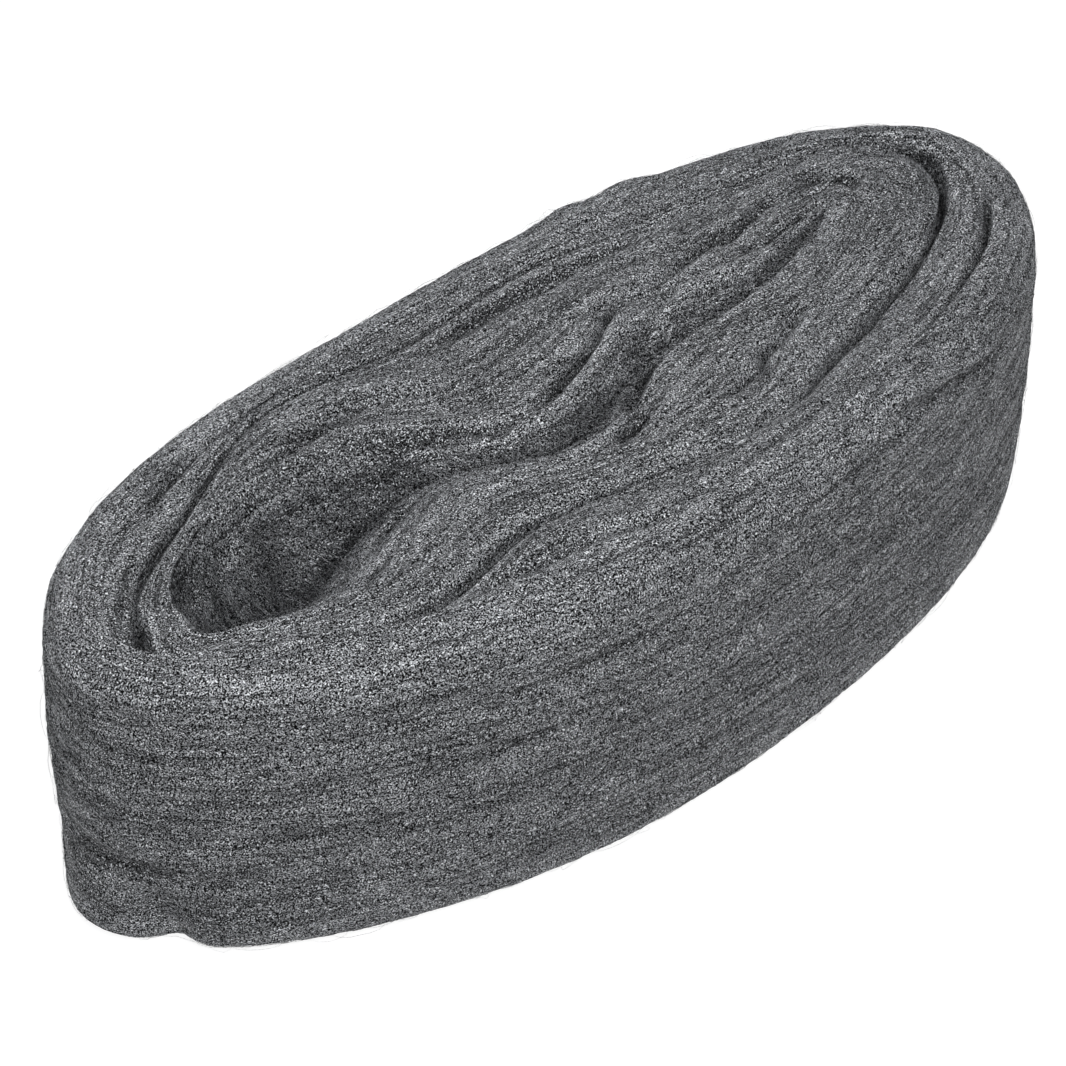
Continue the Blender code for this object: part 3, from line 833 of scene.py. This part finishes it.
def body_material():
    """Wool below the loose fibres: specks of steel and of painted shade in the gaps between fibres, streaks
    along the winding, painted glint specks, and the stored painted light and shade.
    """
    material, tree, shader = principled("wool_below")
    grain = attribute(tree, "grain").outputs["Vector"]
    space = tree.nodes.new("ShaderNodeTexCoord").outputs["Object"]
    specks = noise_in(tree, space, *SPECK_NOISE)
    level = spread(tree, specks, *SPECK_LEVEL)
    streaks = spread(tree, noise_in(tree, grain, *STREAK_NOISE), *STREAK_LEVEL)
    patches = spread(tree, noise_in(tree, grain, *PATCH_NOISE), *PATCH_LEVEL)
    painted_glints = spread(tree, noise_in(tree, space, *PAINTED_GLINT_NOISE), *PAINTED_GLINT_LEVEL)
    level = combine(tree, "MULTIPLY", level, streaks)
    level = combine(tree, "MULTIPLY", level, patches)
    # Painted shade of hollows and gaps and painted light on ridges and in the open space, stored on the mesh
    level = combine(tree, "MULTIPLY", level, attribute(tree, "shade").outputs["Fac"])
    # Painted highlights of glint specks, added to the colour
    level = combine(tree, "ADD", level, painted_glints)
    steel_colour(tree, shader, level)
    shader.inputs["Metallic"].default_value = BODY_METALLIC
    shader.inputs["Roughness"].default_value = BODY_ROUGHNESS
    shader.inputs["Specular IOR Level"].default_value = DULL_SHEEN
    bump = node(tree, "ShaderNodeBump", Strength=1.0, Distance=BODY_BUMP_HEIGHT)
    tree.links.new(specks, bump.inputs["Height"])
    tree.links.new(bump.outputs["Normal"], shader.inputs["Normal"])
    return material


def fibre_material():
    """Steel fibre: its own random grey level, times the painted shade of the hollow it starts in, broken
    along its length by darker and brighter spots whose darkest end is painted shade of the gaps between
    fibres.
    """
    material, tree, shader = principled("wool_fibre")
    space = tree.nodes.new("ShaderNodeTexCoord").outputs["Object"]
    spots = spread(tree, noise_in(tree, space, *SPECK_NOISE), *FIBRE_SPECK_LEVEL)
    steel_colour(tree, shader, combine(tree, "MULTIPLY", spots, attribute(tree, "tone_and_shade").outputs["Fac"]))
    shader.inputs["Metallic"].default_value = FIBRE_METALLIC
    shader.inputs["Roughness"].default_value = FIBRE_ROUGHNESS
    shader.inputs["Specular IOR Level"].default_value = DULL_SHEEN
    return material


def white_for_view(tree, lit, glow):
    """Adds a white glow to a shader, for rays that come from the camera, gloss or glass alone."""
    link = tree.links.new
    path = tree.nodes.new("ShaderNodeLightPath")
    seen = path.outputs["Is Camera Ray"]
    for name in ("Is Glossy Ray", "Is Transmission Ray"):
        either = tree.nodes.new("ShaderNodeMath")
        either.operation = "MAXIMUM"
        link(seen, either.inputs[0])
        link(path.outputs[name], either.inputs[1])
        seen = either.outputs["Value"]
    strength = tree.nodes.new("ShaderNodeMath")
    strength.operation = "MULTIPLY"
    strength.inputs[1].default_value = glow
    link(seen, strength.inputs[0])
    emission = node(tree, "ShaderNodeEmission", Color=WHITE)
    link(strength.outputs["Value"], emission.inputs["Strength"])
    total = tree.nodes.new("ShaderNodeAddShader")
    link(lit, total.inputs[0])
    link(emission.outputs["Emission"], total.inputs[1])
    return total.outputs["Shader"]


def floor():
    """Plain pale floor that keeps the coil's soft shadow."""
    half = FLOOR_HALF
    mesh = bpy.data.meshes.new("floor")
    corners = [(-half, -half, 0.0), (half, -half, 0.0), (half, half, 0.0), (-half, half, 0.0)]
    mesh.from_pydata(corners, [], [(0, 1, 2, 3)])
    material = bpy.data.materials.new("pale_floor")
    material.use_nodes = True
    tree = material.node_tree
    tree.nodes.clear()
    output = tree.nodes.new("ShaderNodeOutputMaterial")
    diffuse = node(tree, "ShaderNodeBsdfDiffuse", Color=FLOOR_COLOUR)
    shader = white_for_view(tree, diffuse.outputs["BSDF"], FLOOR_GLOW)
    tree.links.new(shader, output.inputs["Surface"])
    mesh.materials.append(material)
    plane = bpy.data.objects.new("floor", mesh)
    bpy.context.collection.objects.link(plane)


def world():
    """Even pale light from all around."""
    sky = bpy.data.worlds.new("studio")
    bpy.context.scene.world = sky
    sky.use_nodes = True
    tree = sky.node_tree
    tree.nodes.clear()
    link = tree.links.new
    output = tree.nodes.new("ShaderNodeOutputWorld")
    around = node(tree, "ShaderNodeBackground", Color=SKY_COLOUR, Strength=SKY_STRENGTH)
    white = node(tree, "ShaderNodeBackground", Color=WHITE, Strength=1.0)
    path = tree.nodes.new("ShaderNodeLightPath")
    mix = tree.nodes.new("ShaderNodeMixShader")
    link(path.outputs["Is Camera Ray"], mix.inputs["Fac"])
    link(around.outputs["Background"], mix.inputs[1])
    link(white.outputs["Background"], mix.inputs[2])
    link(mix.outputs["Shader"], output.inputs["Surface"])


def area_light(name, place, size, power):
    """A square soft white lamp that looks at the coil's middle."""
    data = bpy.data.lights.new(name, "AREA")
    data.size = size
    data.energy = power
    lamp = bpy.data.objects.new(name, data)
    lamp.location = place
    lamp.rotation_euler = (CAMERA_TARGET - Vector(place)).to_track_quat("-Z", "Y").to_euler()
    bpy.context.collection.objects.link(lamp)


def camera():
    """Camera at the photograph's angle."""
    data = bpy.data.cameras.new("camera")
    data.sensor_width = CAMERA_SENSOR
    data.lens = CAMERA_LENS
    back = Vector(
        (
            math.sin(CAMERA_AZIMUTH) * math.cos(CAMERA_ELEVATION),
            -math.cos(CAMERA_AZIMUTH) * math.cos(CAMERA_ELEVATION),
            math.sin(CAMERA_ELEVATION),
        )
    )
    eye = bpy.data.objects.new("camera", data)
    eye.location = CAMERA_TARGET + back * CAMERA_DISTANCE
    eye.rotation_euler = (-back).to_track_quat("-Z", "Y").to_euler()
    bpy.context.collection.objects.link(eye)
    bpy.context.scene.camera = eye


camera()
world()
floor()
for lamp in LAMPS:
    area_light(*lamp)

surface = coil_surface()
wool_body(surface, body_material())
fibre = fibre_material()
for number, layer in enumerate(LAYERS):
    fibre_layer(surface, number, *layer, fibre)
slot_fibres(surface, len(LAYERS), "fibres_slot_over", *SLOT_FIBRES, fibre)

bpy.context.scene.view_settings.view_transform = "Standard"
